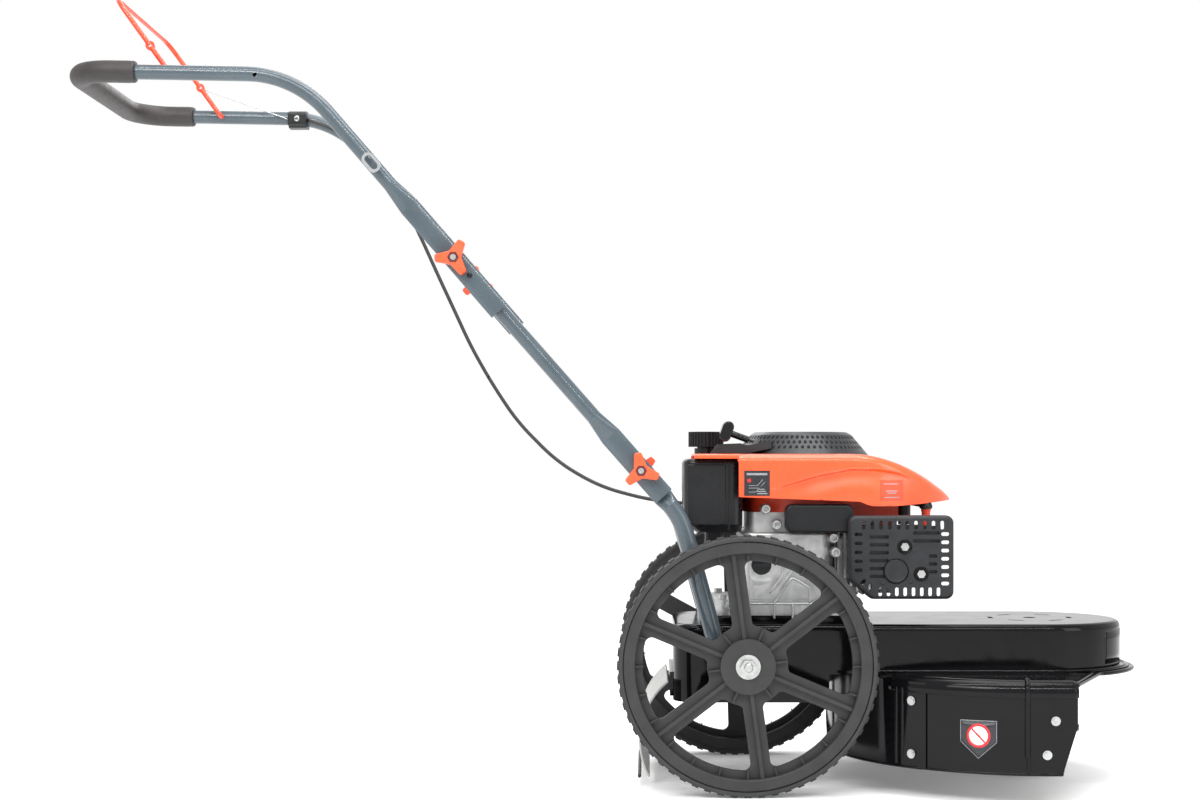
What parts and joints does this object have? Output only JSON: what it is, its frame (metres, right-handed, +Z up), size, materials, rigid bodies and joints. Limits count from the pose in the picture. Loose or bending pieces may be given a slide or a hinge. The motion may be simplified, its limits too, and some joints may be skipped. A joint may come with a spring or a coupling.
{
  "type": "high-wheel walk-behind string-trimmer mower",
  "caption": "Walk-behind brush mower with two high spoked wheels, a vertical-shaft engine, a belt-driven line-trimmer head under a skirted deck, and a folding loop handle with a bail.",
  "frame": {"origin": "on the ground, at the middle of the bounding box's footprint", "axes": "+X towards the deck's nose, +Y to the mower's left as seen by the operator, +Z up"},
  "size_m": [1.5159, 0.5624, 1.1055],
  "materials": {
    "deck_paint": "gloss black paint",
    "flap": "matt pale grey",
    "tube_paint": "satin slate paint",
    "foam": "satin foam",
    "zinc": "zinc plated",
    "chrome": "polished",
    "bail_paint": "orange-red paint",
    "knob": "orange",
    "wheel": "dark grey",
    "tyre": "dark grey",
    "castings": "as cast",
    "iron": "as cast",
    "pulley_steel": "black",
    "shroud": "orange",
    "black_plastic": "satin black",
    "black_rubber": "black",
    "rope": "braided",
    "hot_parts": "heat-proof black",
    "ceramic": "glazed",
    "head_plastic": "black nylon",
    "line": "nylon line"
  },
  "bodies": {
    "deck": {"deck_housing": "deck_paint", "deck_plate": "deck_paint", "skirt_rear": "deck_paint", "side_shield_left": "deck_paint", "side_shield_right": "deck_paint", "rear_flap": "flap", "axle": "zinc", "zinc_fasteners": "zinc", "handle_brackets": "tube_paint", "lower_tube_left": "tube_paint", "lower_tube_right": "tube_paint", "crankcase": "castings", "cylinder": "castings", "cylinder_head": "castings", "spark_plug": "ceramic", "plug_boot": "black_rubber", "muffler": "hot_parts", "muffler_guard": "hot_parts", "engine_shroud": "shroud", "recoil_cover": "black_plastic", "fuel_tank": "black_plastic", "air_box": "black_plastic", "carburettor": "castings", "spindle_housing": "iron", "spindle_bearings": "zinc", "idler_bolt": "zinc", "drive_belt": "black_rubber", "starter_rope": "rope", "cable_sheath": "black_rubber"},
    "wheel_left": {"wheel_rim_left": "wheel", "tyre_left": "tyre"},
    "wheel_right": {"wheel_rim_right": "wheel", "tyre_right": "tyre"},
    "crank": {"crankshaft": "zinc", "flywheel": "iron", "engine_pulley": "pulley_steel"},
    "cutter": {"spindle": "zinc", "head_pulley": "pulley_steel", "trimmer_head": "head_plastic", "cutting_lines": "line", "glide_dome": "head_plastic"},
    "idler": {"idler_pulley": "pulley_steel"},
    "reel": {"recoil_reel": "black_plastic"},
    "starter": {"starter_grip": "black_plastic"},
    "tank_cap": {"fuel_cap": "black_plastic"},
    "oil_cap": {"oil_filler_cap": "black_plastic"},
    "brake": {"brake_lever": "zinc"},
    "mid_handle": {"mid_tube_left": "tube_paint", "mid_tube_right": "tube_paint", "handle_bolts": "zinc"},
    "handle": {"upper_handle": "tube_paint", "foam_grip": "foam", "cable_bracket": "black_plastic", "rope_guide": "chrome", "inner_wire": "zinc"},
    "bail": {"bail": "bail_paint"},
    "knob_upper_left": {"upper_knob_left": "knob"},
    "knob_upper_right": {"upper_knob_right": "knob"},
    "knob_lower_left": {"lower_knob_left": "knob"},
    "knob_lower_right": {"lower_knob_right": "knob"}
  },
  "joints": [
    {"name": "wheel_left_spin", "type": "hinge", "parent": "deck", "child": "wheel_left", "pos_m": [0.187, 0.196, 0.178], "axis": [0, 1, 0], "continuous": true},
    {"name": "wheel_right_spin", "type": "hinge", "parent": "deck", "child": "wheel_right", "pos_m": [0.187, -0.196, 0.178], "axis": [0, 1, 0], "continuous": true},
    {"name": "crank_spin", "type": "hinge", "parent": "deck", "child": "crank", "pos_m": [0.275, 0, 0.3], "axis": [0, 0, 1], "continuous": true},
    {"name": "cutter_spin", "type": "hinge", "parent": "deck", "child": "cutter", "pos_m": [0.61, 0, 0.15], "axis": [0, 0, 1], "continuous": true},
    {"name": "idler_spin", "type": "hinge", "parent": "deck", "child": "idler", "pos_m": [0.437, 0.0673, 0.2], "axis": [0, 0, 1], "continuous": true},
    {"name": "reel_spin", "type": "hinge", "parent": "deck", "child": "reel", "pos_m": [0.275, 0, 0.478], "axis": [0, 0, -1], "range_deg": [0, 573], "stiffness_Nm_per_rad": 0.03},
    {"name": "starter_pull", "type": "slide", "parent": "deck", "child": "starter", "axis": [-0.9397, 0, 0.342], "range_m": [0, 0.451]},
    {"name": "fuel_cap_turn", "type": "hinge", "parent": "deck", "child": "tank_cap", "pos_m": [0.1365, 0.005, 0.49], "axis": [0, 0, 1], "range_deg": [0, 120]},
    {"name": "oil_cap_turn", "type": "hinge", "parent": "deck", "child": "oil_cap", "pos_m": [0.212, -0.095, 0.31], "axis": [0, -1, 0], "range_deg": [0, 180]},
    {"name": "mid_fold", "type": "hinge", "parent": "deck", "child": "mid_handle", "pos_m": [0.0419, 0, 0.4432], "axis": [0, -1, 0], "range_deg": [0, 45]},
    {"name": "upper_fold", "type": "hinge", "parent": "mid_handle", "child": "handle", "pos_m": [-0.2153, 0, 0.7357], "axis": [0, 1, 0], "range_deg": [0, 155], "deforming": ["cable_sheath"]},
    {"name": "bail_squeeze", "type": "hinge", "parent": "handle", "child": "bail", "pos_m": [-0.609, 0, 0.991], "axis": [0, -1, 0], "range_deg": [0, 43], "stiffness_Nm_per_rad": 1.2, "springref_deg": -22.92, "deforming": ["inner_wire"]},
    {"name": "brake_turn", "type": "hinge", "parent": "deck", "child": "brake", "pos_m": [0.211, 0.096, 0.378], "axis": [0, 1, 0], "range_deg": [0, 17.5]},
    {"name": "upper_left_knob_turn", "type": "hinge", "parent": "mid_handle", "child": "knob_upper_left", "pos_m": [-0.2153, 0.182, 0.7357], "axis": [0, 1, 0], "continuous": true},
    {"name": "upper_right_knob_turn", "type": "hinge", "parent": "mid_handle", "child": "knob_upper_right", "pos_m": [-0.2153, -0.182, 0.7357], "axis": [0, -1, 0], "continuous": true},
    {"name": "lower_left_knob_turn", "type": "hinge", "parent": "deck", "child": "knob_lower_left", "pos_m": [0.0419, 0.163, 0.4432], "axis": [0, 1, 0], "continuous": true},
    {"name": "lower_right_knob_turn", "type": "hinge", "parent": "deck", "child": "knob_lower_right", "pos_m": [0.0419, -0.163, 0.4432], "axis": [0, -1, 0], "continuous": true}
  ],
  "couplings": [
    {"joint": "cutter_spin", "follows": "crank_spin", "ratio": 0.73913},
    {"joint": "idler_spin", "follows": "crank_spin", "ratio": -1.5454},
    {"joint": "starter_pull", "follows": "reel_spin", "m_per_rad": 0.045},
    {"joint": "brake_turn", "follows": "bail_squeeze", "ratio": 0.4}
  ]
}
